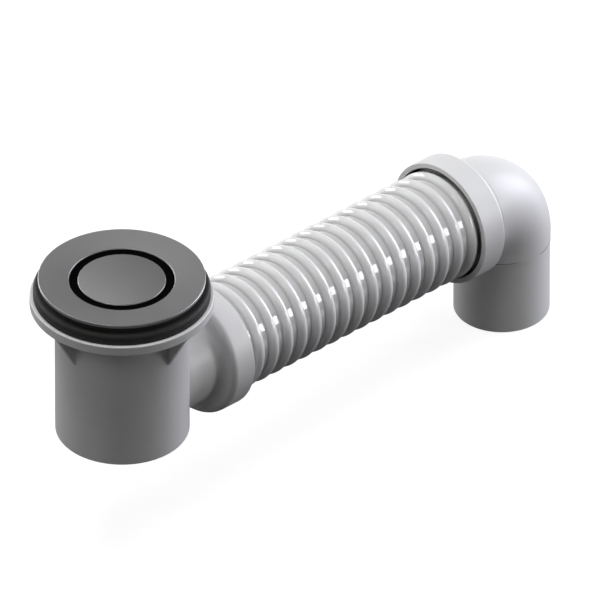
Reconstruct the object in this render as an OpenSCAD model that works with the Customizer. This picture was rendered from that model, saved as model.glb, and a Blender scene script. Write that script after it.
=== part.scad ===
// Bath pop-up waste with a flexible ribbed outlet hose and a swept elbow.
//
// Frame: millimetres, +Z up. The origin lies on the waste's axis, at the
// underside of the metal flange, where it seats on the bath. The hose runs
// towards +X and falls a little on its way; the elbow turns down at its end.

/* [Metal flange] */
// Outside diameter of the flange that shows in the bath
flange_d = 70; // [62:0.5:80]
// Height of the flange's rim above the bath
flange_rim_h = 1.7; // [1.4:0.1:3]
// How far the flange's face falls from its rim to the opening
flange_dish = 1.0; // [0.2:0.1:1.1]
// Outside diameter of the threaded tail (G 1 1/2)
tail_d = 47.7; // [46:0.1:50]
// Wall of the tail; its bore is the opening that the plug closes
tail_wall = 1.75; // [1.4:0.05:3]
// Rounding of the flange's edges
flange_edge_r = 0.35; // [0.2:0.05:0.5]
// Height of the hub and its arms at the tail's lower end
hub_h = 5; // [4:0.5:9]
// Diameter of the hub
hub_d = 14; // [13:0.5:17]
// Thickness of the hub's arms
hub_arm_t = 2.6; // [2:0.1:4]

/* [Seals] */
// How far the soft ring under the metal flange stays back from its rim
flange_seal_back = 1.7; // [0.5:0.1:5]
// Thickness of the soft ring under the metal flange
flange_seal_t = 2.4; // [1.5:0.1:4]
// Outside diameter of the rubber washer
washer_d = 74; // [70:0.5:76]
// Thickness of the rubber washer
washer_t = 4.6; // [4:0.1:7]
// Radius of the washer's upper outer edge
washer_edge_r = 1.6; // [0.5:0.1:1.8]
// Radial room between the rubber rings and the threaded tail
ring_clear = 0.3; // [0.1:0.05:0.6]

/* [Body] */
// Outside diameter of the body's flange
body_flange_d = 77; // [75.5:0.5:84]
// Thickness of the body's flange
body_flange_t = 4.4; // [3:0.1:6]
// Wall of the body's cup
cup_wall = 4.15; // [2.6:0.05:6]
// Height of the cup below the body's flange
cup_h = 63; // [60:0.5:80]
// Thickness of the cup's floor
cup_floor_t = 2.6; // [2:0.1:3.2]
// Radial room between the tail's thread and the body's bore
thread_gap = 0.1; // [0.05:0.05:0.2]
// How far the four gussets reach down from the flange
gusset_h = 17.5; // [10:0.5:25]
// Thickness of the gussets
gusset_t = 1.8; // [1.2:0.1:3]
// How far the gussets stay back from the flange's edge
gusset_back = 0.5; // [0.3:0.1:3]
// Rounding of the body's edges
body_edge_r = 0.5; // [0.2:0.1:1]

/* [Outlet branch] */
// Thickness under the branch's bore, at the body's axis
outlet_floor_t = 2.5; // [2.2:0.1:8]
// Fall of the outlet's axis, in degrees
fall = 3; // [1:0.5:4]
// Inside diameter of the branch
branch_bore_d = 34.8; // [30:0.1:38]
// Wall of the branch
branch_wall = 3; // [1.6:0.1:4]
// Distance from the body's axis to the collar, along the outlet
collar_start = 38.8; // [36:0.1:46]
// Length of the collar
collar_len = 12.4; // [11:0.1:18]
// Wall of the collar round the hose
collar_wall = 3.25; // [1.6:0.05:5]
// Rounding of the collar's edge towards the body
collar_edge_r = 2.5; // [0.8:0.1:3]
// Rounding of the collar's edge towards the hose
collar_lip_r = 0.8; // [0.3:0.1:1]
// Radius of the hollow corner between branch and collar
branch_fillet_r = 3.4; // [1.5:0.1:3.6]
// Depth of the collar's socket
collar_socket_depth = 9.7; // [7:0.1:10.5]

/* [Hose] */
// Inside diameter of the hose
hose_bore_d = 40; // [37:0.1:44]
// Wall of the hose between its ribs
hose_wall = 1.6; // [1:0.1:2.5]
// Length of hose that shows between collar and elbow
hose_show = 136.8; // [100:0.1:200]
// Distance from one rib to the next
rib_pitch = 8.44; // [7:0.01:12]
// Radius of the half-round ribs
rib_r = 2.5; // [1.8:0.05:2.6]
// Distance from the collar's face to the first rib that stands clear
rib_lead = 7.8; // [7:0.1:8.4]
// Radial room between the hose and the collar's socket
socket_gap = 0.15; // [0.05:0.05:0.3]

/* [Elbow] */
// Radial room between the hose and the elbow's socket
elbow_socket_gap = 0.5; // [0.1:0.05:0.9]
// Wall of the elbow's socket
elbow_socket_wall = 2.6; // [1.6:0.1:5]
// Depth of the elbow's socket
elbow_socket_depth = 10.2; // [8:0.1:16]
// Thickness behind the bottom of the elbow's socket
elbow_shoulder_t = 1.6; // [1:0.1:4]
// Straight stretch between socket and bend
elbow_lead = 5.9; // [0.5:0.1:12]
// Radius of the bend's inner side
elbow_throat_r = 0.3; // [0.2:0.05:14]
// Straight stretch below the bend, before the spigot
elbow_tail = 4.5; // [1:0.1:10]
// How far the bend stands proud of the spigot, on its radius
bend_step = 0.3; // [0.1:0.05:0.4]
// Outside diameter of the spigot (40 mm waste pipe)
spigot_d = 40.8; // [38:0.1:44]
// Wall of the spigot
spigot_wall = 2.4; // [1.6:0.1:4]
// Length of the straight spigot
spigot_len = 34.5; // [25:0.5:50]
// Rounding of the elbow's edges
elbow_edge_r = 0.5; // [0.2:0.1:0.8]

/* [Plug] */
// Width of the black ring between the plug's metal cap and the opening
seal_show = 3.7; // [2.4:0.1:5]
// How far the closed cap lies below the edge of the opening
plug_sink = 0.2; // [0:0.1:0.4]
// Thickness of the cap
plug_t = 1.7; // [1.4:0.1:2.4]
// Rounding of the cap's edge
plug_edge_r = 0.3; // [0.15:0.05:0.5]
// Diameter of the boss under the cap
plug_boss_d = 10; // [9:0.1:12]
// Thickness of the cap's metal over its threaded hole
plug_roof_t = 1.1; // [0.8:0.1:1.3]
// Room between the cap and the rubber seal around it
seal_inner_gap = 0.15; // [0.1:0.05:0.3]
// Room between the rubber seal and the opening
seal_outer_gap = 0.25; // [0.2:0.05:0.4]
// How far the seal's face lies below the cap's
seal_sink = 0.45; // [0.2:0.05:0.8]
// Thickness of the seal under the cap
seal_t = 2.5; // [2:0.1:3]
// Thickness of the seal's thin lip
seal_lip_t = 1.2; // [0.8:0.1:1.6]
// How far the seal reaches in under the cap
seal_grip = 2.9; // [1.5:0.1:6]
// Thickness of the carrier below the seal
carrier_t = 1.5; // [1.2:0.1:3]
// Travel from closed to open
lift = 9; // [6:0.5:12]
// Travel below closed that trips the latch
press = 1.5; // [1:0.1:2.5]

/* [Push cartridge] */
// Diameter of the plunger's stem
plunger_d = 12.4; // [12:0.1:13]
// Wall of the plunger's stem
plunger_wall = 1.4; // [1.2:0.1:1.6]
// Thickness left in the plunger between its bore and the stud's hole
plunger_web_t = 1; // [0.8:0.1:2]
// Height of the plunger's crown
crown_h = 3; // [2:0.1:5]
// Wall of the barrel
barrel_wall = 1.2; // [0.9:0.05:2]
// Thickness of the barrel's floor
barrel_floor_t = 2; // [1.5:0.1:4]
// Radial room between the plunger's stem and the ribs inside the barrel
guide_room = 1; // [0.6:0.1:2]
// Depth of the ribs inside the barrel
guide_depth = 1.4; // [1:0.05:2]
// Width of the four grooves between those ribs
groove_w = 4; // [3.4:0.1:5]
// Radial room in the cartridge's close fits
fit_gap = 0.1; // [0.05:0.05:0.2]
// Sliding room between moving pieces
slide_gap = 0.3; // [0.2:0.05:0.35]
// Height of the cap that closes the barrel
barrel_cap_h = 2.4; // [2.2:0.1:4]
// Length of the cap's spigot inside the barrel
barrel_cap_plug = 1.2; // [0.8:0.1:2]
// Thickness of the wiper ring's section
wiper_t = 1.2; // [1:0.1:1.3]
// Height of the rotor's ring and lugs
rotor_h = 3; // [2.4:0.1:4]
// Wall of the rotor's hollow stem
rotor_wall = 0.8; // [0.6:0.05:0.9]
// Length of the rotor's stem inside the plunger
rotor_stem_len = 10.5; // [8:0.5:11]
// Thickness of the spring's wire
wire_d = 0.7; // [0.5:0.05:0.8]
// Turns of the spring
spring_turns = 8; // [6:1:10]
// Thickness of the spring's seat
spring_seat_t = 0.6; // [0.4:0.1:1]
// Diameter of the cartridge's fixing screw (M8)
screw_d = 8; // [6:0.5:8.5]
// Across the flats of the hexagon socket in the screw's head
screw_socket_af = 5; // [4:0.5:6]
// Depth of that socket
screw_socket_depth = 3.6; // [2:0.1:5]
// Height of the fixing screw's head
screw_head_h = 1.6; // [1.2:0.1:2.4]
// Diameter of the fixing screw's head
screw_head_d = 12; // [11:0.1:13]
// How far the fixing screw shows below the lock nut
screw_show = 1; // [0.5:0.1:3]
// Across the flats of the lock nut
nut_af = 13; // [12.5:0.1:15]
// Height of the lock nut
nut_h = 4; // [3:0.5:6]
// Thickness of the washer over the lock nut
nut_washer_t = 1.2; // [0.8:0.1:2]
// Diameter of the stud between cap and plunger (M6)
stud_d = 6; // [5:0.1:6.4]

/* [Hidden] */
$fn = 96;
EPS = 0.01;
ARC_STEPS = 6;

// Metal flange and tail
flange_r = flange_d / 2;
tail_r = tail_d / 2;
opening_r = tail_r - tail_wall;
flange_in_h = flange_rim_h - flange_dish;

// Heights of the stack under the flange
washer_top = -flange_seal_t;
body_top = washer_top - washer_t;
body_flange_low = body_top - body_flange_t;
cup_low = body_flange_low - cup_h;
cup_bore_r = tail_r + thread_gap;
cup_r = cup_bore_r + cup_wall;
cup_floor = cup_low + cup_floor_t;

// Outlet line, measured from the body's axis along the falling axis
branch_bore_r = branch_bore_d / 2;
branch_r = branch_bore_r + branch_wall;
branch_from = cup_bore_r / 2;
axis_z = cup_low + outlet_floor_t + branch_bore_r;
hose_bore_r = hose_bore_d / 2;
hose_floor_r = hose_bore_r + hose_wall;
hose_r = hose_floor_r + rib_r;
collar_socket_r = hose_r + socket_gap;
collar_r = collar_socket_r + collar_wall;
collar_face = collar_start + collar_len;
collar_rise = collar_r - branch_r;
branch_fillet = min(branch_fillet_r, 0.58 * collar_rise);
collar_edge = min(collar_edge_r, 0.42 * collar_rise);
hose_start = collar_face - collar_socket_depth;
elbow_start = collar_face + hose_show;
hose_end = elbow_start + elbow_socket_depth;
elbow_socket_bore_r = hose_r + elbow_socket_gap;
elbow_socket_r = elbow_socket_bore_r + elbow_socket_wall;
elbow_socket_end = hose_end + elbow_shoulder_t;
bend_start = elbow_socket_end + elbow_lead;
spigot_r = spigot_d / 2;
spigot_bore_r = spigot_r - spigot_wall;
bend_turn = 90 - fall;
bend_pipe_r = spigot_r + bend_step;
bend_r = bend_pipe_r + elbow_throat_r;
bend_reach = bend_r * tan(bend_turn / 2);
bend_proud = 0.06;
bend_lap = 0.3;
lead_r = bend_pipe_r - bend_proud;
spigot_x = round(100 * (bend_start + bend_reach) * cos(fall)) / 100;
bend_end_z = round(100 * (axis_z - (bend_start + bend_reach) * sin(fall) - bend_reach)) / 100;
spigot_top = bend_end_z - elbow_tail;
spigot_low = spigot_top - spigot_len;

// Plug, closed
plug_r = opening_r - seal_show;
plug_top = flange_in_h - plug_sink;
plug_under = plug_top - plug_t;
seal_top = plug_top - seal_sink;
seal_in_r = plug_r + seal_inner_gap;
seal_out_r = opening_r - seal_outer_gap;
seal_low = plug_under - seal_t;
seal_hole_r = plug_r - seal_grip;
carrier_low = seal_low - carrier_t;
stud_r = stud_d / 2;

// Cartridge, from the top down
plunger_r = plunger_d / 2;
plunger_top = carrier_low;
barrel_cap_top = plunger_top - press - slide_gap;
barrel_top = barrel_cap_top - barrel_cap_h;
guide_r = plunger_r + guide_room;
barrel_in_r = guide_r + guide_depth;
barrel_r = barrel_in_r + barrel_wall;
guide_top = barrel_top - barrel_cap_plug;
crown_top = guide_top - slide_gap - lift;
crown_low = crown_top - crown_h;
crown_r = guide_r - slide_gap;
key_r = barrel_in_r - slide_gap;
key_w = groove_w - 2 * slide_gap;
rotor_top = crown_low - slide_gap;
rotor_low = rotor_top - rotor_h;
rotor_stem_top = rotor_top + rotor_stem_len;
plunger_bore_top = rotor_stem_top + slide_gap;
rotor_stem_r = plunger_r - plunger_wall - slide_gap;
rotor_bore_r = rotor_stem_r - rotor_wall;
rotor_roof_t = 1.5;
spring_top = rotor_stem_top - rotor_roof_t;
spring_seat_top = rotor_low - press - slide_gap;
screw_head_top = spring_seat_top - spring_seat_t;
barrel_floor = screw_head_top - screw_head_h;
barrel_low = barrel_floor - barrel_floor_t;
hub_top = barrel_low;
tail_low = hub_top - hub_h;
screw_r = screw_d / 2;
nut_washer_low = tail_low - nut_washer_t;
nut_low = nut_washer_low - nut_h;
screw_low = nut_low - screw_show;
stud_top = plug_top - plug_roof_t - slide_gap;
stud_low = plunger_bore_top + plunger_web_t;
spring_r = rotor_bore_r - slide_gap - wire_d / 2;
wiper_mid_z = barrel_cap_top - barrel_cap_h / 2;
wiper_mid_r = plunger_r + fit_gap + wiper_t / 2;

// Points of an arc round (x, y), from angle a0 to angle a1
function arc(x, y, r, a0, a1) =
    [for (i = [0:ARC_STEPS])
        let (a = a0 + (a1 - a0) * i / ARC_STEPS) [x + r * cos(a), y + r * sin(a)]];

// Tube standing on z = low
module tube(outer_r, inner_r, low, high) {
    translate([0, 0, low])
        difference() {
            cylinder(r = outer_r, h = high - low);
            translate([0, 0, -1]) cylinder(r = inner_r, h = high - low + 2);
        }
}

// Places children that stand along +Z on the falling outlet axis
module on_outlet_axis() {
    translate([0, 0, axis_z]) rotate([0, 90 + fall, 0]) children();
}

// Four copies round the waste's axis
module four(start = 0) {
    for (i = [0:3]) rotate([0, 0, start + 90 * i]) children();
}

// Metal flange: dished plate, threaded tail and the cast hub for the cartridge
module waste_flange() {
    e = flange_edge_r;
    slope_r = flange_r - e;
    color("#8c8c8a") {
        rotate_extrude()
            polygon(concat(
                arc(opening_r + e, flange_in_h - e, e, 180, 90),
                arc(slope_r, flange_rim_h - e, e, 90, 0),
                arc(slope_r, e, e, 0, -90),
                [[tail_r, 0], [tail_r, tail_low], [opening_r, tail_low]]
            ));
        difference() {
            union() {
                translate([0, 0, tail_low]) cylinder(d = hub_d, h = hub_h);
                four(45) translate([0, -hub_arm_t / 2, tail_low])
                    cube([opening_r + 0.5, hub_arm_t, hub_h]);
            }
            translate([0, 0, tail_low - 1])
                cylinder(r = screw_r + fit_gap, h = hub_h + 2);
        }
    }
}

// Soft ring that beds the metal flange on the bath
module flange_seal() {
    color("#1c1c1c")
        tube(flange_r - flange_seal_back, tail_r + ring_clear, washer_top, 0);
}

// Rubber washer under the bath, with its upper edge rounded
module bath_washer() {
    e = washer_edge_r;
    r = washer_d / 2;
    color("#242424")
        rotate_extrude()
            polygon(concat(
                [[tail_r + ring_clear, body_top], [r, body_top]],
                arc(r - e, washer_top - e, e, 0, 90),
                [[tail_r + ring_clear, washer_top]]
            ));
}

// Body: flange, cup, gussets, and the branch that ends in the hose collar
module outlet_body() {
    e = body_edge_r;
    flange_out = body_flange_d / 2;
    color("#c4c6c8")
        difference() {
            union() {
                rotate_extrude()
                    polygon(concat(
                        [[0, cup_low]],
                        arc(cup_r - e, cup_low + e, e, -90, 0),
                        [[cup_r, body_flange_low]],
                        arc(flange_out - e, body_flange_low + e, e, -90, 0),
                        arc(flange_out - e, body_top - e, e, 0, 90),
                        [[0, body_top]]
                    ));
                four() gusset(flange_out - gusset_back);
                difference() {
                    on_outlet_axis() branch_shell();
                    translate([0, 0, cup_low - cup_h])
                        cylinder(r = cup_r - EPS, h = 2 * cup_h);
                }
            }
            translate([0, 0, cup_floor])
                cylinder(r = cup_bore_r, h = body_top - cup_floor + 1);
            difference() {
                on_outlet_axis() translate([0, 0, branch_from])
                    cylinder(r = branch_bore_r, h = collar_face - branch_from);
                translate([0, 0, cup_low - cup_h]) cylinder(r = cup_bore_r - EPS, h = 2 * cup_h);
            }
            on_outlet_axis() translate([0, 0, collar_face - collar_socket_depth])
                cylinder(r = collar_socket_r, h = collar_socket_depth + 1);
        }
}

// One triangular gusset, in the plane y = 0, out to radius reach
module gusset(reach) {
    translate([0, gusset_t / 2, 0]) rotate([90, 0, 0])
        linear_extrude(gusset_t)
            polygon([
                [cup_r - 1, body_flange_low + EPS], [reach, body_flange_low + EPS],
                [cup_r, body_flange_low - gusset_h], [cup_r - 1, body_flange_low - gusset_h]
            ]);
}

// Solid of the branch and its collar, along +Z
module branch_shell() {
    f = branch_fillet;
    e = collar_edge;
    l = collar_lip_r;
    rotate_extrude()
        polygon(concat(
            [[0, branch_from], [branch_r, branch_from]],
            arc(branch_r + f, collar_start - f, f, 180, 90),
            arc(collar_r - e, collar_start + e, e, -90, 0),
            arc(collar_r - l, collar_face - l, l, 0, 90),
            [[0, collar_face]]
        ));
}

// Hose: smooth bore, half-round ribs outside
module outlet_hose() {
    rib_first = collar_face + rib_lead - rib_pitch;
    rib_count = floor((hose_end - rib_r - rib_first) / rib_pitch) + 1;
    color("#cfcfcd")
        on_outlet_axis()
            rotate_extrude()
                union() {
                    translate([hose_bore_r, hose_start])
                        square([hose_wall, hose_end - hose_start]);
                    for (i = [0:rib_count - 1])
                        translate([hose_floor_r - EPS, rib_first + i * rib_pitch]) rib_section();
                }
}

// Half of a circle: the section of one rib, flat side on the hose's wall
module rib_section() {
    intersection() {
        circle(r = rib_r, $fn = 48);
        translate([0, -rib_r]) square([rib_r + 1, 2 * rib_r]);
    }
}

// Elbow: socket for the hose, bend, and straight spigot
module outlet_elbow() {
    e = elbow_edge_r;
    r = elbow_socket_r;
    color("#c8cacc")
        difference() {
            union() {
                on_outlet_axis()
                    rotate_extrude()
                        polygon(concat(
                            [[0, elbow_start]],
                            arc(r - e / 2, elbow_start + e / 2, e / 2, -90, 0),
                            arc(r - e, elbow_socket_end - e, e, 0, 90),
                            [[lead_r, elbow_socket_end], [lead_r, bend_start + bend_lap]],
                            [[0, bend_start + bend_lap]]
                        ));
                bend(bend_pipe_r);
                translate([spigot_x, 0, 0])
                    rotate_extrude()
                        polygon(concat(
                            [[0, bend_end_z + bend_lap], [0, spigot_low]],
                            arc(spigot_r - e, spigot_low + e, e, -90, 0),
                            [[spigot_r, spigot_top], [lead_r, spigot_top]],
                            [[lead_r, bend_end_z + bend_lap]]
                        ));
            }
            on_outlet_axis() translate([0, 0, elbow_start - 1])
                cylinder(r = elbow_socket_bore_r, h = elbow_socket_depth + 1);
            on_outlet_axis() translate([0, 0, elbow_start])
                cylinder(r = spigot_bore_r, h = bend_start + bend_lap - elbow_start);
            bend(spigot_bore_r + bend_proud);
            translate([spigot_x, 0, spigot_low - 1])
                cylinder(r = spigot_bore_r, h = bend_end_z + bend_lap - spigot_low + 1);
        }
}

// Bend of a round bar, from the falling axis down to the spigot
module bend(r) {
    translate([spigot_x - bend_r, 0, bend_end_z]) rotate([90, 0, 0])
        rotate_extrude(angle = bend_turn)
            translate([bend_r, 0]) circle(r = r);
}

// Cap of the plug, with the threaded boss under it
module plug_cap() {
    e = plug_edge_r;
    boss_low = carrier_low + slide_gap;
    color("#8c8c8a")
        difference() {
            rotate_extrude()
                polygon(concat(
                    [[0, boss_low], [plug_boss_d / 2, boss_low], [plug_boss_d / 2, plug_under]],
                    arc(plug_r - e, plug_under + e, e, -90, 0),
                    arc(plug_r - e, plug_top - e, e, 0, 90),
                    [[0, plug_top]]
                ));
            translate([0, 0, boss_low - 1])
                cylinder(r = stud_r + fit_gap, h = plug_top - plug_roof_t - boss_low + 1);
        }
}

// Rubber seal that fills the ring between cap and opening
module plug_seal() {
    color("#0c0c0c")
        rotate_extrude()
            polygon([
                [seal_hole_r, seal_low], [seal_out_r - seal_lip_t, seal_low],
                [seal_out_r, seal_top - seal_lip_t], [seal_out_r, seal_top],
                [seal_in_r, seal_top], [seal_in_r, plug_under], [seal_hole_r, plug_under]
            ]);
}

// Disc that carries the seal and is clamped against the cap
module seal_carrier() {
    bore_r = plug_boss_d / 2 + fit_gap;
    color("#2c2c2e")
        rotate_extrude()
            polygon([
                [bore_r, carrier_low], [plug_r, carrier_low], [plug_r, seal_low],
                [seal_hole_r - fit_gap, seal_low], [seal_hole_r - fit_gap, plug_under],
                [bore_r, plug_under]
            ]);
}

// Threaded stud that joins the cap to the plunger
module cap_stud() {
    color("#b0b0ac")
        translate([0, 0, stud_low]) cylinder(r = stud_r, h = stud_top - stud_low);
}

// Plunger: stem with the stud's hole on top, and a crown that slides in the grooves
module plunger() {
    color("#e6e4dc")
        difference() {
            union() {
                translate([0, 0, crown_low]) cylinder(r = plunger_r, h = plunger_top - crown_low);
                translate([0, 0, crown_low]) cylinder(r = crown_r, h = crown_h);
                four() key(crown_low, crown_h);
            }
            translate([0, 0, crown_low - 1])
                cylinder(r = plunger_r - plunger_wall, h = plunger_bore_top - crown_low + 1);
            translate([0, 0, stud_low])
                cylinder(r = stud_r + fit_gap, h = plunger_top - stud_low + 1);
        }
}

// Key that runs in a groove of the barrel, with a round outer end
module key(low, h) {
    intersection() {
        translate([0, 0, low]) cylinder(r = key_r, h = h);
        translate([rotor_stem_r + 0.5, -key_w / 2, low]) cube([key_r, key_w, h]);
    }
}

// Rotor: steps round an eighth of a turn at each push and hooks under the ribs
module cam_rotor() {
    color("#d8c9a0")
        difference() {
            union() {
                translate([0, 0, rotor_low]) cylinder(r = crown_r, h = rotor_h);
                translate([0, 0, rotor_top - EPS])
                    cylinder(r = rotor_stem_r, h = rotor_stem_len + EPS);
                four() lug();
            }
            translate([0, 0, rotor_low - 1])
                cylinder(r = rotor_bore_r, h = spring_top - rotor_low + 1);
        }
}

// Lug of the rotor, with the slanted top that turns it
module lug() {
    slant = key_w * tan(25);
    intersection() {
        translate([0, 0, rotor_low]) cylinder(r = key_r, h = rotor_h);
        rotate([90, 0, 90]) translate([0, 0, rotor_bore_r + 0.4])
            linear_extrude(key_r)
                polygon([
                    [-key_w / 2, rotor_low], [key_w / 2, rotor_low],
                    [key_w / 2, rotor_top], [-key_w / 2, rotor_top - slant]
                ]);
    }
}

// Spring that pushes rotor and plunger up; its end turns lie flat
function spring_z(t) =
    let (low = spring_seat_top + wire_d / 2, high = spring_top - wire_d / 2)
    let (flat = 1, climb = (high - low) / (spring_turns - flat))
    t < flat / 2 ? low :
    t > spring_turns - flat / 2 ? high : low + (t - flat / 2) * climb;

module return_spring() {
    side = 8;
    per_turn = 24;
    rings = spring_turns * per_turn;
    points = [
        for (i = [0:rings], k = [0:side - 1])
            let (t = i / per_turn, a = 360 * t, b = 360 * k / side)
            let (r = spring_r + wire_d / 2 * cos(b))
            [r * cos(a), r * sin(a), spring_z(t) + wire_d / 2 * sin(b)]
    ];
    walls = [
        for (i = [0:rings - 1], k = [0:side - 1])
            let (n = (k + 1) % side)
            [i * side + k, (i + 1) * side + k, (i + 1) * side + n, i * side + n]
    ];
    color("#b8b8b4")
        polyhedron(
            points = points,
            faces = concat(
                walls,
                [[for (k = [0:side - 1]) k]],
                [[for (k = [side - 1:-1:0]) rings * side + k]]
            )
        );
}

// Steel seat under the spring, on the screw's head
module spring_seat() {
    color("#b8b8b4")
        tube(rotor_bore_r + 1, spring_r - wire_d, screw_head_top, spring_seat_top);
}

// Barrel: round case with four grooves, screwed down on the hub
module click_barrel() {
    color("#e6e4dc")
        difference() {
            union() {
                tube(barrel_r, barrel_in_r, barrel_floor - EPS, barrel_top);
                difference() {
                    tube(barrel_in_r + EPS, guide_r, crown_low, guide_top);
                    four() translate([0, -groove_w / 2, crown_low - 1])
                        cube([barrel_r, groove_w, guide_top - crown_low + 2]);
                }
                translate([0, 0, barrel_low]) cylinder(r = barrel_r, h = barrel_floor_t);
            }
            translate([0, 0, barrel_low - 1])
                cylinder(r = screw_r + fit_gap, h = barrel_floor_t + 2);
        }
}

// Cap that closes the barrel and guides the plunger
module barrel_cap() {
    color("#2c2c2e")
        difference() {
            union() {
                translate([0, 0, barrel_top]) cylinder(r = barrel_r, h = barrel_cap_h);
                translate([0, 0, guide_top])
                    cylinder(r = barrel_in_r - fit_gap, h = barrel_cap_plug + EPS);
            }
            translate([0, 0, guide_top - 1])
                cylinder(r = plunger_r + slide_gap, h = barrel_cap_h + barrel_cap_plug + 2);
            rotate_extrude() translate([wiper_mid_r, wiper_mid_z])
                circle(r = wiper_t / 2 + 0.05, $fn = 32);
        }
}

// Round rubber ring that wipes the plunger
module wiper_ring() {
    color("#181818")
        rotate_extrude() translate([wiper_mid_r, wiper_mid_z])
            circle(r = wiper_t / 2, $fn = 32);
}

// Brass screw that holds the cartridge on the hub
module fixing_screw() {
    color("#c8a860")
        difference() {
            union() {
                translate([0, 0, barrel_floor]) cylinder(d = screw_head_d, h = screw_head_h);
                translate([0, 0, screw_low]) cylinder(r = screw_r, h = barrel_floor - screw_low + EPS);
            }
            translate([0, 0, screw_head_top - screw_socket_depth])
                cylinder(d = screw_socket_af / cos(30), h = screw_socket_depth + 1, $fn = 6);
        }
}

// Flat washer between hub and lock nut
module nut_washer() {
    color("#c8a860")
        tube(hub_d / 2, screw_r + fit_gap, nut_washer_low, tail_low);
}

// Hexagon nut that locks the fixing screw
module lock_nut() {
    color("#c8a860")
        difference() {
            translate([0, 0, nut_low]) cylinder(d = nut_af / cos(30), h = nut_h, $fn = 6);
            translate([0, 0, nut_low - 1]) cylinder(r = screw_r + fit_gap, h = nut_h + 2);
        }
}

waste_flange();
flange_seal();
bath_washer();
outlet_body();
outlet_hose();
outlet_elbow();
plug_cap();
plug_seal();
seal_carrier();
cap_stud();
plunger();
cam_rotor();
return_spring();
spring_seat();
click_barrel();
barrel_cap();
wiper_ring();
fixing_screw();
nut_washer();
lock_nut();
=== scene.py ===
# %% [markdown]
# # Dressing a bath pop-up waste
#
# A bath pop-up waste drains a bath. A metal flange lies on the bath's floor, a plastic body hangs
# under it, and a ribbed hose leads to an elbow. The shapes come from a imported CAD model. This
# lesson gives every piece its finish, then sets the floor, the lamps and the camera.

# %% Load the frame
import math

import bpy
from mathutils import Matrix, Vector


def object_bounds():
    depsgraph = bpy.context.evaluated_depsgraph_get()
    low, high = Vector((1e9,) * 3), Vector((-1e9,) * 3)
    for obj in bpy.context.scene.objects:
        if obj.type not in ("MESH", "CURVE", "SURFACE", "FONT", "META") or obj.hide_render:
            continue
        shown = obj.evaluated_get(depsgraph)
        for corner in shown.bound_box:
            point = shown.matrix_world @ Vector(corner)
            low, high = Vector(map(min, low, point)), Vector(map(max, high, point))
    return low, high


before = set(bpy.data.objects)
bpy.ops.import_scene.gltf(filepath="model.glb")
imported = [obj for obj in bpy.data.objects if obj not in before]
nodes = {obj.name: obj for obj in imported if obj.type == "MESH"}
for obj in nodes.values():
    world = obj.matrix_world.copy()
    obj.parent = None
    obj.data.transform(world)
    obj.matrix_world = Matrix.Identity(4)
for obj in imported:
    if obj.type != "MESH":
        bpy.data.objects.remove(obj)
cad_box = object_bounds()
MM = 0.001
print("box in mm:", [[round(v / MM, 1) for v in corner] for corner in cad_box])

# %% [markdown]
# ## Helpers for materials
#
# Colours are written as sRGB hex values, the way a paint chart or a picture editor gives them.
# Blender's shaders work in linear light, so one function converts them. A second one adds a
# shader node together with its settings and its links, which keeps each material short. Two more
# start a material and put it on pieces.

# %% Colour, node and material helpers
def linear(hex_code):
    """Linear RGBA of an sRGB colour such as "c8cacc"."""
    channels = [int(hex_code[i:i + 2], 16) / 255 for i in (0, 2, 4)]
    return [c / 12.92 if c <= 0.04045 else ((c + 0.055) / 1.055) ** 2.4 for c in channels] + [1.0]


def add_node(tree, kind, settings=None, links=None):
    """Adds a node. A setting named like a property sets that, any other one sets a socket."""
    node = tree.nodes.new(kind)
    for name, value in (settings or {}).items():
        if isinstance(name, str) and hasattr(node, name):
            setattr(node, name, value)
        else:
            node.inputs[name].default_value = value
    for name, source in (links or {}).items():
        tree.links.new(source, node.inputs[name])
    return node


def new_material(name):
    """An empty node material and its tree."""
    material = bpy.data.materials.new(name)
    material.use_nodes = True
    material.node_tree.nodes.clear()
    return material, material.node_tree


def dress(material, *names):
    """Puts one material on every slot of the named CAD nodes."""
    for name in names:
        for slot in nodes[name].material_slots:
            slot.material = material
    print(material.name, "on", ", ".join(names))


print("sRGB 808080 is", round(linear("808080")[0], 3), "in linear light")

# %% [markdown]
# ## Grain that is measured in millimetres
#
# Moulded plastic is never perfectly even. The steel mould is etched or spark-eroded, and that
# grain, a few tenths of a millimetre wide, is printed on the plastic. Slower changes of colour
# and sheen come from the way the melt flows. Both are noise, at two sizes. A noise texture repeats
# about once for each unit of its input times its scale, so a grain size in metres gives the scale.
# Its values lie mostly between 0.3 and 0.7, so that range is spread over what it changes.

# %% A plastic with mould grain
NOISE_LOW = 0.3
NOISE_HIGH = 0.7
FLOW_DARKENING = 0.97


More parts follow.
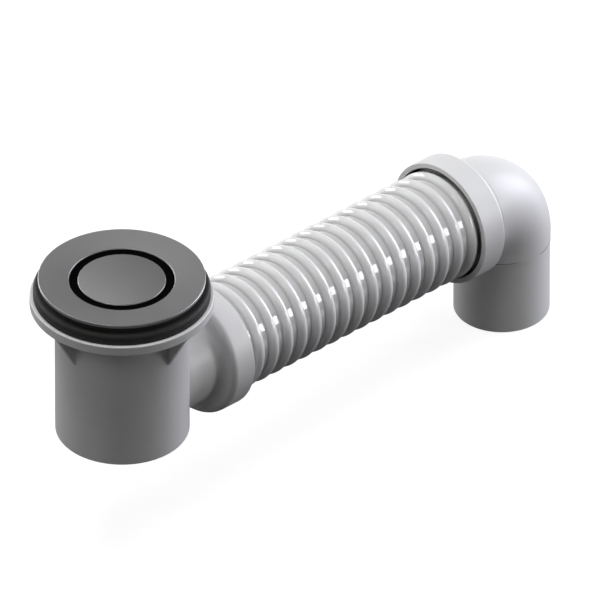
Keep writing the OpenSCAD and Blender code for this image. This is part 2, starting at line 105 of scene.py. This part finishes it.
def moulded_plastic(name, shade, roughness, ior, grain_mm, grain_height_mm, flow_mm=22,
                    sheen_change=0.03):
    """A moulded plastic from its colour, its sheen, and its grain's width and height."""
    material, tree = new_material(name)
    place = add_node(tree, "ShaderNodeTexCoord").outputs["Object"]
    grain = add_node(tree, "ShaderNodeTexNoise",
                     {"Scale": 1 / (grain_mm * MM), "Detail": 2.0, "Roughness": 0.5},
                     {"Vector": place})
    flow = add_node(tree, "ShaderNodeTexNoise",
                    {"Scale": 1 / (flow_mm * MM), "Detail": 3.0, "Distortion": 0.6},
                    {"Vector": place})
    base = linear(shade)
    tint = add_node(tree, "ShaderNodeValToRGB", links={"Fac": flow.outputs["Fac"]})
    darker, full = tint.color_ramp.elements
    darker.position = NOISE_LOW
    darker.color = [c * FLOW_DARKENING for c in base[:3]] + [1.0]
    full.position = NOISE_HIGH
    full.color = base
    sheen = add_node(tree, "ShaderNodeMapRange",
                     {"From Min": NOISE_LOW, "From Max": NOISE_HIGH,
                      "To Min": roughness - sheen_change, "To Max": roughness + sheen_change},
                     {"Value": flow.outputs["Fac"]})
    bump = add_node(tree, "ShaderNodeBump",
                    {"Strength": 1.0, "Distance": grain_height_mm * MM},
                    {"Height": grain.outputs["Fac"]})
    shader = add_node(tree, "ShaderNodeBsdfPrincipled", {"IOR": ior},
                      {"Base Color": tint.outputs["Color"], "Roughness": sheen.outputs["Result"],
                       "Normal": bump.outputs["Normal"]})
    add_node(tree, "ShaderNodeOutputMaterial", links={"Surface": shader.outputs["BSDF"]})
    print(name, "has grain of", grain_mm, "mm and a noise scale of", round(1 / (grain_mm * MM)))
    return material


# %% [markdown]
# ## ABS of the body and the elbow
#
# The body and the elbow are injection-moulded ABS in the light grey of waste fittings. The
# mould is finely spark-eroded, so the surface is satin: lights show as soft glows. The grain is
# about 0.3 mm wide. At the distance of this camera one pixel is 0.4 mm, so it is drawn at
# 0.7 mm to be seen at all. Both pieces look alike, but the elbow has a material of its own, as it
# gets some marks later.

# %% Body and elbow
ABS_LOOK = {"shade": "d6d6d6", "roughness": 0.4, "ior": 1.54, "grain_mm": 0.7,
            "grain_height_mm": 0.004}
satin_abs = moulded_plastic("SatinGreyAbs", **ABS_LOOK)
dress(satin_abs, "outlet_body")
elbow_abs = moulded_plastic("SatinGreyAbsElbow", **ABS_LOOK)
dress(elbow_abs, "outlet_elbow")

# %% [markdown]
# ## Polypropylene of the hose
#
# A hose that has to flex without cracking is blown from polypropylene against a polished mould.
# It comes out glossy, so each rib carries a sharp square reflection of a softbox. Its surface
# only waves gently, over a few millimetres, which bends those squares a little. Polypropylene's
# IOR is 1.49. It is raised to 1.7 here, as the reflections on the real hose are that strong.

# %% Hose
glossy_pp = moulded_plastic("GlossyGreyPolypropylene", "dedede", roughness=0.04, ior=1.7,
                            grain_mm=5.0, grain_height_mm=0.006, sheen_change=0.015)
dress(glossy_pp, "outlet_hose")

# %% [markdown]
# ## Where a mark lies
#
# Some marks tell how a piece was made, and each lies at a place that can be measured. The object's
# own coordinates give the distances: along the outlet's axis, which falls by 3 degrees, away from
# that axis, and plain height. A mask goes from 0 to 1 over a short stretch of such a distance, and
# masks are multiplied to get the area that they share.

# %% Distances and masks
OUTLET_AXIS_Z_MM = -54.5
OUTLET_FALL = math.radians(3)


def outlet_distances(tree):
    """Distances along the outlet's axis from the body's axis, and away from it."""
    place = add_node(tree, "ShaderNodeTexCoord").outputs["Object"]
    outlet = (math.cos(OUTLET_FALL), 0.0, -math.sin(OUTLET_FALL))
    reach = add_node(tree, "ShaderNodeVectorMath",
                     {"operation": "SUBTRACT", 1: (0, 0, OUTLET_AXIS_Z_MM * MM)}, {0: place})
    along = add_node(tree, "ShaderNodeVectorMath", {"operation": "DOT_PRODUCT", 1: outlet},
                     {0: reach.outputs["Vector"]})
    across = add_node(tree, "ShaderNodeVectorMath", {"operation": "CROSS_PRODUCT", 1: outlet},
                      {0: reach.outputs["Vector"]})
    away = add_node(tree, "ShaderNodeVectorMath", {"operation": "LENGTH"},
                    {0: across.outputs["Vector"]})
    return along.outputs["Value"], away.outputs["Value"]


def mask(tree, *ramps):
    """The area that ramps share. A ramp is a distance, and the mm where it is 0 and 1."""
    area = None
    for distance, off_mm, on_mm in ramps:
        ramp = add_node(tree, "ShaderNodeMapRange",
                        {"interpolation_type": "SMOOTHSTEP", "From Min": off_mm * MM,
                         "From Max": on_mm * MM}, {"Value": distance}).outputs["Result"]
        if area:
            ramp = add_node(tree, "ShaderNodeMath", {"operation": "MULTIPLY"},
                            {0: area, 1: ramp}).outputs[0]
        area = ramp
    return area


def mark(material, area, shade, roughness=None):
    """Gives an area of a plastic another colour, and perhaps another roughness."""
    tree = material.node_tree
    shader = next(node for node in tree.nodes if node.type == "BSDF_PRINCIPLED")
    changes = {"Base Color": {"data_type": "RGBA", "B": linear(shade)}}
    if roughness is not None:
        changes["Roughness"] = {"B": roughness}
    for socket, settings in changes.items():
        before = shader.inputs[socket].links[0].from_socket
        mixed = add_node(tree, "ShaderNodeMix", settings, {"Factor": area, "A": before})
        tree.links.new(mixed.outputs["Result"], shader.inputs[socket])
    print("mark in", shade, "on", material.name)


# %% [markdown]
# ## Parting line of the elbow
#
# A small step runs round the elbow where the slide of the mould met the other half, and its
# shade is painted on as a fine dark line. How far a point lies to one side is measured at 45
# degrees to the outlet, from the spigot's axis: the painted shade is mid grey up to 5 mm past
# that axis, left out from 9 to 15 mm, and darkest beyond 17 mm, at the flank.

# %% Parting line
PARTING_Z_MM = -89.8
SPIGOT_X_MM = 225.32
SIDEWAYS = (0.7071, -0.7071, 0.0)
SPIGOT_SIDE_MM = SPIGOT_X_MM * SIDEWAYS[0]

tree = elbow_abs.node_tree
place = add_node(tree, "ShaderNodeTexCoord").outputs["Object"]
height = add_node(tree, "ShaderNodeSeparateXYZ", links={"Vector": place}).outputs["Z"]
side = add_node(tree, "ShaderNodeVectorMath", {"operation": "DOT_PRODUCT", 1: SIDEWAYS},
                {0: place}).outputs["Value"]
line = ((height, PARTING_Z_MM - 0.25, PARTING_Z_MM - 0.1),
        (height, PARTING_Z_MM + 0.25, PARTING_Z_MM + 0.1))
# painted shade of the parting step, mid grey
mid_grey_painted_shade = mask(tree, *line, (side, SPIGOT_SIDE_MM + 9.2, SPIGOT_SIDE_MM + 5.2))
mark(elbow_abs, mid_grey_painted_shade, "86868a")
# painted shade of the parting step, darkest at the flank
darkest_painted_shade = mask(tree, *line, (side, SPIGOT_SIDE_MM + 15.2, SPIGOT_SIDE_MM + 17.2))
mark(elbow_abs, darkest_painted_shade, "58585c")

# %% [markdown]
# ## Socket of the elbow, and the hose's wall
#
# A white band half a millimetre wide, glossier than the rest, is painted on the sharp rear edge of
# the elbow's socket as a highlight.
# The socket is painted black inside and round its mouth, as shade in the gap round the hose.
# And the hose is painted a shade greyer between its ribs, as the shade that falls there.

# %% Painted highlight on the edge, painted shade in the socket and between the ribs
SOCKET_R_MM = 27.2
SOCKET_BORE_R_MM = 24.6
SOCKET_REAR_MM = 199.8
HOSE_END_MM = 198.2
RIB_TOP_R_MM = 24.1
GROOVE_R_MM = 21.6

along, away = outlet_distances(tree)
# painted highlight: a white band on the socket's rear edge
painted_highlight_edge = mask(tree, (along, SOCKET_REAR_MM - 0.6, SOCKET_REAR_MM - 0.4),
                   (along, SOCKET_REAR_MM + 0.4, SOCKET_REAR_MM + 0.2),
                   (away, SOCKET_R_MM - 0.7, SOCKET_R_MM - 0.4))
mark(elbow_abs, painted_highlight_edge, "ffffff", roughness=0.12)
# painted shade: black in the socket's gap round the hose
painted_shade_socket = mask(tree, (away, SOCKET_BORE_R_MM + 0.5, SOCKET_BORE_R_MM + 0.35),
              (along, HOSE_END_MM + 0.7, HOSE_END_MM + 0.2))
mark(elbow_abs, painted_shade_socket, "080808")

tree = glossy_pp.node_tree
along, away = outlet_distances(tree)
# painted shade between the ribs of the hose
painted_shade_between_ribs = mask(tree, (away, RIB_TOP_R_MM - 0.7, GROOVE_R_MM + 0.4))
mark(glossy_pp, painted_shade_between_ribs, "cbcbcb")

# %% [markdown]
# ## Satin stainless steel of flange and cap
#
# The flange and the plug's cap are steel with a satin finish: a lathe leaves fine scratches that
# run round the piece and blur what it reflects. Rings are easiest with the distance from the
# waste's axis: a noise of that distance alone is a set of circles. Real lines are under 0.05 mm
# wide, and they are drawn 0.9 mm wide here, very shallow. The pressed cap is also crowned, by
# less than half a millimetre. Its height falls with the square of the distance, and the same
# bump node takes that, so the cap shades from one side to the other as the real one does.

# %% Flange and cap
def turned_metal(name, shade, roughness, ring_mm, ring_height_mm, handling_mm=14, crown=0.0):
    """Metal with turned rings round the Z axis, and a sheen that handling has made uneven.

    A crowned face falls by crown times the square of the distance, both in metres.
    """
    material, tree = new_material(name)
    place = add_node(tree, "ShaderNodeTexCoord").outputs["Object"]
    flat = add_node(tree, "ShaderNodeVectorMath", {"operation": "MULTIPLY", 1: (1.0, 1.0, 0.0)},
                    {0: place})
    reach = add_node(tree, "ShaderNodeVectorMath", {"operation": "LENGTH"},
                     {0: flat.outputs["Vector"]})
    rings = add_node(tree, "ShaderNodeTexNoise",
                     {"noise_dimensions": "1D", "Scale": 1 / (ring_mm * MM), "Detail": 3.0},
                     {"W": reach.outputs["Value"]})
    handling = add_node(tree, "ShaderNodeTexNoise",
                        {"Scale": 1 / (handling_mm * MM), "Detail": 4.0, "Roughness": 0.6},
                        {"Vector": place})
    sheen = add_node(tree, "ShaderNodeMapRange",
                     {"From Min": NOISE_LOW, "From Max": NOISE_HIGH,
                      "To Min": roughness - 0.02, "To Max": roughness + 0.03},
                     {"Value": handling.outputs["Fac"]})
    height = add_node(tree, "ShaderNodeMath", {"operation": "MULTIPLY", 1: ring_height_mm * MM},
                      {0: rings.outputs["Fac"]})
    if crown:
        square = add_node(tree, "ShaderNodeMath", {"operation": "POWER", 1: 2.0},
                          {0: reach.outputs["Value"]})
        height = add_node(tree, "ShaderNodeMath", {"operation": "MULTIPLY_ADD", 1: -crown},
                          {0: square.outputs[0], 2: height.outputs[0]})
    bump = add_node(tree, "ShaderNodeBump", {"Strength": 1.0, "Distance": 1.0},
                    {"Height": height.outputs[0]})
    shader = add_node(tree, "ShaderNodeBsdfPrincipled",
                      {"Base Color": linear(shade), "Metallic": 1.0},
                      {"Roughness": sheen.outputs["Result"], "Normal": bump.outputs["Normal"]})
    add_node(tree, "ShaderNodeOutputMaterial", links={"Surface": shader.outputs["BSDF"]})
    return material


STEEL_LOOK = {"shade": "aeaeae", "roughness": 0.4, "ring_mm": 0.9, "ring_height_mm": 0.004}
dress(turned_metal("SatinStainlessSteel", **STEEL_LOOK), "waste_flange")
dress(turned_metal("SatinStainlessSteelCap", crown=1.6, **STEEL_LOOK), "plug_cap")

# %% [markdown]
# ## Black rubber
#
# Seals are EPDM or nitrile rubber, black with soot. Moulded rubber is matt and faintly mottled,
# because a thin bloom comes to its surface, in patches of a few millimetres. Its grain is finer
# than a pixel, so it is drawn 0.6 mm wide. The ring round the plug sits deep in its recess, and
# the shade there is painted into it: it has its own rubber, near black and with almost no
# reflection.

# %% Seals
def black_rubber(name, shade, bloom_shade, roughness, specular, bloom_mm=6, grain_mm=0.6,
                 grain_height_mm=0.01):
    """Rubber with a faint, uneven bloom."""
    material, tree = new_material(name)
    place = add_node(tree, "ShaderNodeTexCoord").outputs["Object"]
    bloom = add_node(tree, "ShaderNodeTexNoise",
                     {"Scale": 1 / (bloom_mm * MM), "Detail": 6.0, "Roughness": 0.65},
                     {"Vector": place})
    tint = add_node(tree, "ShaderNodeValToRGB", links={"Fac": bloom.outputs["Fac"]})
    plain, bloomed = tint.color_ramp.elements
    plain.position = 0.4
    plain.color = linear(shade)
    bloomed.position = 0.75
    bloomed.color = linear(bloom_shade)
    grain = add_node(tree, "ShaderNodeTexNoise", {"Scale": 1 / (grain_mm * MM), "Detail": 2.0},
                     {"Vector": place})
    bump = add_node(tree, "ShaderNodeBump", {"Strength": 1.0, "Distance": grain_height_mm * MM},
                    {"Height": grain.outputs["Fac"]})
    shader = add_node(tree, "ShaderNodeBsdfPrincipled",
                      {"Roughness": roughness, "IOR": 1.5, "Specular IOR Level": specular},
                      {"Base Color": tint.outputs["Color"], "Normal": bump.outputs["Normal"]})
    add_node(tree, "ShaderNodeOutputMaterial", links={"Surface": shader.outputs["BSDF"]})
    return material


washer_rubber = black_rubber("BlackEpdmRubber", "222221", "2a2a29", roughness=0.62, specular=0.35)
dress(washer_rubber, "bath_washer", "flange_seal")
# painted shade: near black rubber with almost no reflection, for the plug's seal and the wiper
# ring
painted_shade_rubber = black_rubber("BlackRubberPaintedShade", "020202", "040404", roughness=0.8, specular=0.02)
dress(painted_shade_rubber, "plug_seal", "wiper_ring")

# %% [markdown]
# ## Small pieces of the push cartridge
#
# Inside, sliding pieces are acetal (POM), a white, slightly waxy plastic that needs no grease.
# The carrier of the seal and the barrel's cap are glass-filled nylon, near black and matt. The
# rotor is natural nylon, which yellows to cream. The spring, its seat and the stud are bright
# steel, and the screw with its nut and washer is brass. Both metals are turned or drawn, so they
# take the finish of the flange with finer and shallower rings.

# %% Cartridge plastics
white_acetal = moulded_plastic("WhiteAcetal", "e8e6de", roughness=0.35, ior=1.48,
                               grain_mm=0.7, grain_height_mm=0.003)
dress(white_acetal, "plunger", "click_barrel")
black_nylon = moulded_plastic("BlackGlassFilledNylon", "242527", roughness=0.55, ior=1.53,
                              grain_mm=0.5, grain_height_mm=0.008)
dress(black_nylon, "seal_carrier", "barrel_cap")
cream_nylon = moulded_plastic("NaturalNylon", "dccda4", roughness=0.4, ior=1.53,
                              grain_mm=0.7, grain_height_mm=0.003)
dress(cream_nylon, "cam_rotor")

# %% Cartridge metals
spring_steel = turned_metal("BrightSpringSteel", "c2c0bc", roughness=0.25, ring_mm=0.6,
                            ring_height_mm=0.001)
dress(spring_steel, "return_spring", "spring_seat", "cap_stud")
turned_brass = turned_metal("TurnedBrass", "d9b573", roughness=0.3, ring_mm=0.6,
                            ring_height_mm=0.002)
dress(turned_brass, "fixing_screw", "nut_washer", "lock_nut")

# %% [markdown]
# ## Floor
#
# The object stands in a plain white studio, on a floor that lies under the elbow's end. The floor
# is a plane, 6 m wide, so that no camera sees its edge against the room. It is no part of the
# object. The floor and the lamps are placed round the object's middle.

# %% Floor plane
MIDDLE = Vector((0.1, 0.0, -0.05))
FLOOR_REACH = 3.0

floor_z = cad_box[0][2]
bpy.ops.mesh.primitive_plane_add(size=2 * FLOOR_REACH, location=(MIDDLE.x, MIDDLE.y, floor_z))
floor = bpy.context.object
floor.name = "studio_floor"
print("floor at z =", round(floor_z / MM, 1), "mm")

# %% [markdown]
# ## Paint of the floor
#
# A white floor would throw light up at the object from all sides, and the photograph shows deep
# shade there. So the floor is a dark glossy acrylic for the light that it scatters. The camera
# sees it white, with the object's shadow on it. Reflections see it white as well, at the rear,
# and it fades to the bare acrylic towards the front, over 0.35 m. That is what a studio does with
# white paper at the back and black paper in front, to give glossy things a dark side.

# %% White for the camera, graded for reflections
TO_THE_REAR = (0.707, 0.707, 0.0)
FADE_REACH = 0.35
FLOOR_GLOW = 0.85


def ray_masks(tree):
    """Masks of what the camera sees itself, and of what mirrors and glass show."""
    ray = add_node(tree, "ShaderNodeLightPath")
    mirrored = add_node(tree, "ShaderNodeMath", {"operation": "MAXIMUM"},
                        {0: ray.outputs["Is Glossy Ray"], 1: ray.outputs["Is Transmission Ray"]})
    return ray.outputs["Is Camera Ray"], mirrored.outputs[0]


floor_paint, tree = new_material("WhiteStudioFloor")
seen, mirrored = ray_masks(tree)
acrylic = add_node(tree, "ShaderNodeBsdfPrincipled",
                   {"Base Color": linear("464646"), "Roughness": 0.22})
place = add_node(tree, "ShaderNodeTexCoord").outputs["Object"]
rear = add_node(tree, "ShaderNodeVectorMath", {"operation": "DOT_PRODUCT", 1: TO_THE_REAR},
                {0: place})
fade = add_node(tree, "ShaderNodeMapRange",
                {"interpolation_type": "SMOOTHSTEP", "From Min": 0.0, "From Max": FADE_REACH},
                {"Value": rear.outputs["Value"]})
paper = add_node(tree, "ShaderNodeEmission", {"Color": linear("ffffff")},
                 {"Strength": fade.outputs["Result"]})
graded = add_node(tree, "ShaderNodeAddShader", links={0: acrylic.outputs[0], 1: paper.outputs[0]})
white = add_node(tree, "ShaderNodeBsdfDiffuse", {"Color": linear("8c8c8c")})
glow = add_node(tree, "ShaderNodeEmission", {"Color": linear("ffffff"), "Strength": FLOOR_GLOW})
lit = add_node(tree, "ShaderNodeAddShader", links={0: white.outputs[0], 1: glow.outputs[0]})
unseen = add_node(tree, "ShaderNodeMixShader",
                  links={0: mirrored, 1: acrylic.outputs[0], 2: graded.outputs[0]})
blend = add_node(tree, "ShaderNodeMixShader",
                 links={0: seen, 1: unseen.outputs[0], 2: lit.outputs[0]})
add_node(tree, "ShaderNodeOutputMaterial", links={"Surface": blend.outputs[0]})
floor.data.materials.append(floor_paint)
print(floor_paint.name, "fades over", FADE_REACH, "m")

# %% [markdown]
# ## The room round the object
#
# The world is plain white for the camera. For reflections it is white at the horizon, as the
# floor's rear edge is, and grows dim towards the ceiling, so that only the softboxes stand out
# there. The height of a direction is the sine of its angle over the horizon. Very little of the
# room lights the object: the softboxes do that.

# %% White world
WHITE_UP_TO = 0.05
DIM_FROM = 0.35
CEILING = 0.15
ROOM_LIGHT = 0.03

world = bpy.data.worlds.new("PaleStudio")
bpy.context.scene.world = world
world.use_nodes = True
tree = world.node_tree
tree.nodes.clear()
seen, mirrored = ray_masks(tree)
toward = add_node(tree, "ShaderNodeTexCoord").outputs["Generated"]
height = add_node(tree, "ShaderNodeSeparateXYZ", links={"Vector": toward}).outputs["Z"]
horizon = add_node(tree, "ShaderNodeMapRange",
                   {"interpolation_type": "SMOOTHSTEP", "From Min": WHITE_UP_TO,
                    "From Max": DIM_FROM, "To Min": 1.0, "To Max": CEILING}, {"Value": height})
room = add_node(tree, "ShaderNodeMath", {"operation": "MULTIPLY"},
                {0: mirrored, 1: horizon.outputs[0]})
room = add_node(tree, "ShaderNodeMath", {"operation": "MAXIMUM", 1: ROOM_LIGHT},
                {0: room.outputs[0]})
level = add_node(tree, "ShaderNodeMath", {"operation": "MAXIMUM"}, {0: seen, 1: room.outputs[0]})
sky = add_node(tree, "ShaderNodeBackground", {"Color": linear("ffffff")},
               {"Strength": level.outputs[0]})
add_node(tree, "ShaderNodeOutputWorld", links={"Surface": sky.outputs[0]})
print("world:", world.name)

# %% [markdown]
# ## Lamps
#
# Each lamp has one task. A window-like panel on the right lights the right sides, in a slightly
# cool light. The small softbox beside it is the one that the ribs show as squares, and its
# size and angles come from those squares. Two panels overhead light what faces up. A wide low
# panel behind draws the streaks along the top of the hose, and weak ones at the left lift the
# left sides. The last panel hangs near the flange, and makes the far side of the metal a little
# brighter than the near side. No lamp shows itself to a camera, and the overhead pair isn't
# mirrored either, as seen from above the metal would turn white. Azimuths start at the way to
# the elbow and turn anticlockwise, seen from above.

# %% Softboxes
def direction(azimuth, elevation):
    """The way from the object to what looks at it, from two angles in degrees."""
    turn = math.radians(azimuth)
    rise = math.radians(elevation)
    return Vector((math.cos(turn) * math.cos(rise), math.sin(turn) * math.cos(rise),
                   math.sin(rise)))


def softbox(name, azimuth, elevation, distance, width, height, power, colour="ffffff",
            mirrored=True):
    """A lamp that looks at the object. Distance and sizes are in metres, power in watts."""
    lamp = bpy.data.lights.new(name, "AREA")
    lamp.shape = "RECTANGLE"
    lamp.size = width
    lamp.size_y = height
    lamp.energy = power
    lamp.color = linear(colour)[:3]
    holder = bpy.data.objects.new(name, lamp)
    bpy.context.scene.collection.objects.link(holder)
    back = direction(azimuth, elevation)
    holder.location = MIDDLE + back * distance
    holder.rotation_euler = back.to_track_quat("Z", "Y").to_euler()
    holder.visible_camera = False
    holder.visible_glossy = mirrored
    print(name, "at", [round(v, 2) for v in holder.location])


softbox("right_window", -15, 16, 1.2, 0.64, 0.76, power=9.7, colour="f0f1ff")
softbox("small_softbox", -53.4, 13.0, 1.2, 0.3, 0.3, power=2.6)
softbox("overhead_left", 135, 72, 1.3, 0.6, 0.6, power=6.2, mirrored=False)
softbox("overhead_right", -45, 72, 1.3, 0.6, 0.6, power=5.9, mirrored=False)
softbox("back_panel", 95, 17, 1.3, 0.75, 0.45, power=6.3)
softbox("left_back_panel", 150, 10, 1.3, 0.7, 0.4, power=1.4)
softbox("front_left_panel", 195, 47, 1.3, 0.5, 0.5, power=1.9)
softbox("metal_panel", 90, 58, 0.472, 0.3, 0.3, power=0.26)

# %% [markdown]
# ## Camera
#
# The picture is a parallel view, as in a technical drawing: from the front left, 35 degrees
# down. A very long lens from far away comes close to that. From 12 m the elbow, which stands
# 0.17 m further off than the flange, comes out 1.4% smaller, which is under 1 mm on the object.
# The angles and the target share that error out over the picture. The frame is 251 mm wide.

# %% Long-lens camera
LENS_MM = 1700.0
SENSOR_MM = 36.0
AZIMUTH = -134.978
ELEVATION = 35.307
DISTANCE = 11.8535
TARGET = Vector((0.08749, -0.01733, -0.04504))

lens = bpy.data.cameras.new("long_lens")
lens.lens = LENS_MM
lens.sensor_width = SENSOR_MM
lens.clip_start = 1.0
lens.clip_end = 50.0
camera = bpy.data.objects.new("long_lens", lens)
back = direction(AZIMUTH, ELEVATION)
camera.location = TARGET + back * DISTANCE
camera.rotation_euler = back.to_track_quat("Z", "Y").to_euler()
bpy.context.scene.collection.objects.link(camera)
bpy.context.scene.camera = camera
bpy.context.scene.view_settings.view_transform = "Standard"
print("frame width in mm:", round(DISTANCE * SENSOR_MM / LENS_MM / MM, 1))
